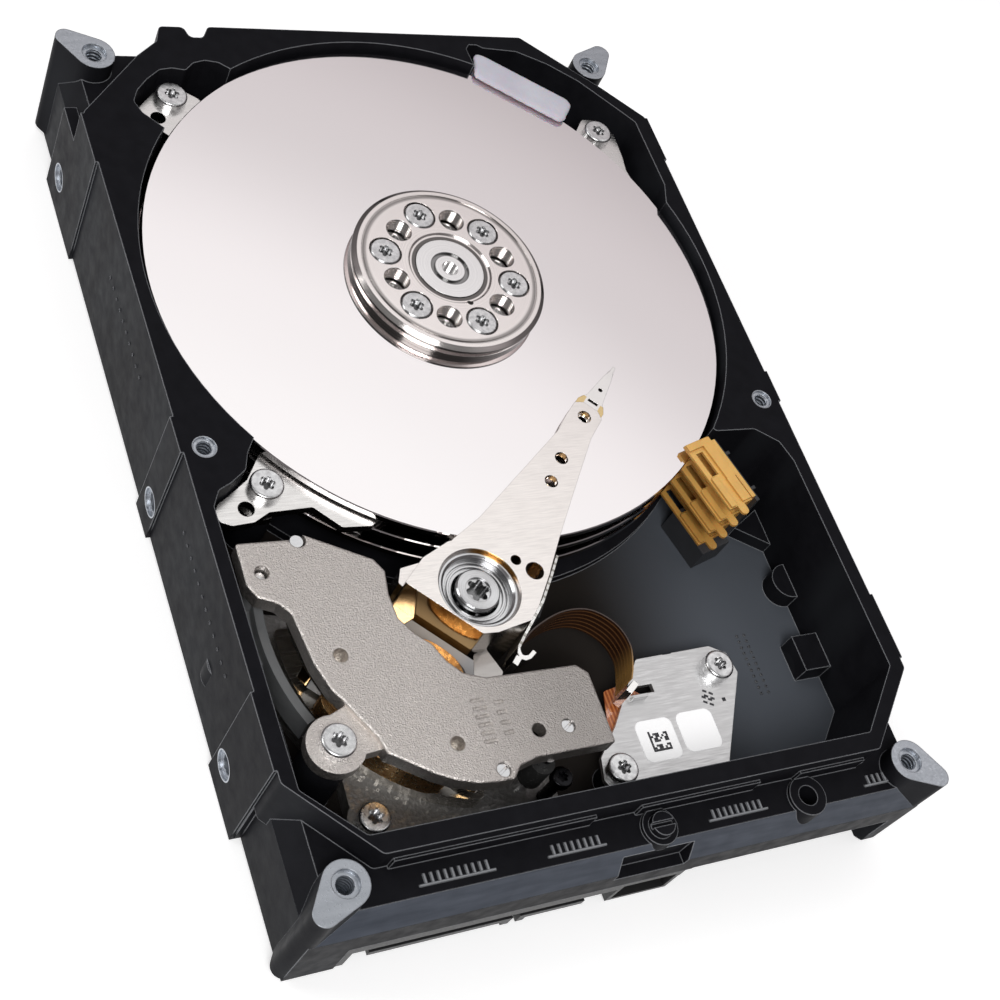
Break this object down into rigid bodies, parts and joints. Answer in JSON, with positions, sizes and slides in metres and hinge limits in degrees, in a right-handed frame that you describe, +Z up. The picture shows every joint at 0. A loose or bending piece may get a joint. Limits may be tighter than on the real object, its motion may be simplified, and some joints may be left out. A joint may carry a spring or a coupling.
{
  "type": "hard disk drive",
  "caption": "Open 3.5 inch hard disk drive: cast base, mirror disc stack on a spindle, pivoting head arm with voice coil, magnet yoke, load ramp, filter, flex loop and rear connector.",
  "frame": {"origin": "centre of the footprint at the lowest face of the base", "axes": "+X across the width, +Y along the length away from the connector end, +Z up out of the open side, along the disc axis"},
  "size_m": [0.1016, 0.147, 0.0243],
  "materials": {
    "casting_black": "black electro-coated cast aluminium, machined bright at the pads and the bevels",
    "shaft_steel": "ground steel",
    "bearing_steel": "polished steel",
    "stator_iron": "laminated iron",
    "copper_wire": "enamelled copper wire",
    "hub_alloy": "turned",
    "sleeve_bronze": "turned bronze",
    "magnet_nickel": "nickel-plated magnet",
    "platter_mirror": "mirror-polished disc",
    "clamp_nickel": "satin nickel",
    "screw_steel": "plated steel",
    "arm_alloy": "satin machined",
    "coil_bobbin": "moulded grey",
    "latch_plastic": "moulded grey",
    "suspension_steel": "thin stainless sheet",
    "slider_ceramic": "black ceramic",
    "flex_amber": "polyimide film with copper tracks",
    "chip_black": "moulded chip package",
    "yoke_nickel": "nickel-plated, blasted steel",
    "post_steel": "plated steel",
    "stop_rubber": "matt rubber",
    "damper_alloy": "stamped aluminium plate",
    "ramp_amber": "amber moulded plastic",
    "bracket_grey": "dark moulded plastic",
    "filter_fabric": "pale lilac felt pouch",
    "plate_alloy": "satin stamped plate",
    "label_white": "white paper label",
    "print_black": "printed cells",
    "connector_black": "moulded black",
    "board_green": "solder-masked board",
    "pad_grey": "foam sheet",
    "component_tan": "small surface-mount parts",
    "contact_gold": "gold-plated contacts"
  },
  "bodies": {
    "chassis": {"base_casting": "casting_black", "spindle_shaft": "shaft_steel", "pivot_post": "shaft_steel", "latch_pin": "shaft_steel", "bearing_balls": "bearing_steel", "stator_core": "stator_iron", "stator_coils": "copper_wire", "upper_magnet": "magnet_nickel", "lower_magnet": "magnet_nickel", "damper_screws": "screw_steel", "yoke_screws": "screw_steel", "bracket_screws": "screw_steel", "board_screws": "screw_steel", "flex_clip": "suspension_steel", "flex_loop": "flex_amber", "flex_tail": "flex_amber", "motor_lead": "flex_amber", "controller_chip": "chip_black", "memory_chip": "chip_black", "motor_driver_chip": "chip_black", "upper_yoke": "yoke_nickel", "lower_yoke": "yoke_nickel", "yoke_standoffs": "post_steel", "crash_stops": "stop_rubber", "damper_upper": "damper_alloy", "damper_lower": "damper_alloy", "load_ramp": "ramp_amber", "ramp_bracket": "bracket_grey", "recirculation_filter": "filter_fabric", "flex_bracket": "plate_alloy", "bracket_labels": "label_white", "label_print": "print_black", "head_connector": "connector_black", "sata_housing": "connector_black", "circuit_board": "board_green", "insulation_pad": "pad_grey", "board_components": "component_tan", "sata_contacts": "contact_gold"},
    "spindle": {"spindle_hub": "hub_alloy", "spindle_sleeve": "sleeve_bronze", "rotor_magnet": "magnet_nickel", "platter_top": "platter_mirror", "platter_middle": "platter_mirror", "platter_bottom": "platter_mirror", "spacer_upper": "hub_alloy", "spacer_lower": "hub_alloy", "disc_clamp": "clamp_nickel", "clamp_screws": "screw_steel"},
    "actuator": {"arm_block": "arm_alloy", "pivot_sleeve": "shaft_steel", "voice_coil": "copper_wire", "coil_frame": "coil_bobbin", "suspension_top": "suspension_steel", "suspension_pairs": "suspension_steel", "suspension_bottom": "suspension_steel", "head_sliders": "slider_ceramic", "arm_flex": "flex_amber", "preamp_chip": "chip_black", "flex_anchor": "suspension_steel"},
    "latch": {"inertia_latch": "latch_plastic"}
  },
  "joints": [
    {"name": "spindle_spin", "type": "hinge", "parent": "chassis", "child": "spindle", "pos_m": [0, 0.02256, 0.02], "axis": [0, 0, 1], "continuous": true},
    {"name": "arm_swing", "type": "hinge", "parent": "chassis", "child": "actuator", "pos_m": [-0.0141, -0.0321, 0.017], "axis": [0, 0, 1], "range_deg": [-27, 13], "deforming": ["flex_loop"]},
    {"name": "latch_swing", "type": "hinge", "parent": "chassis", "child": "latch", "pos_m": [-0.0443, -0.0254, 0.015], "axis": [0, 0, 1], "range_deg": [-8, 1.5]}
  ]
}
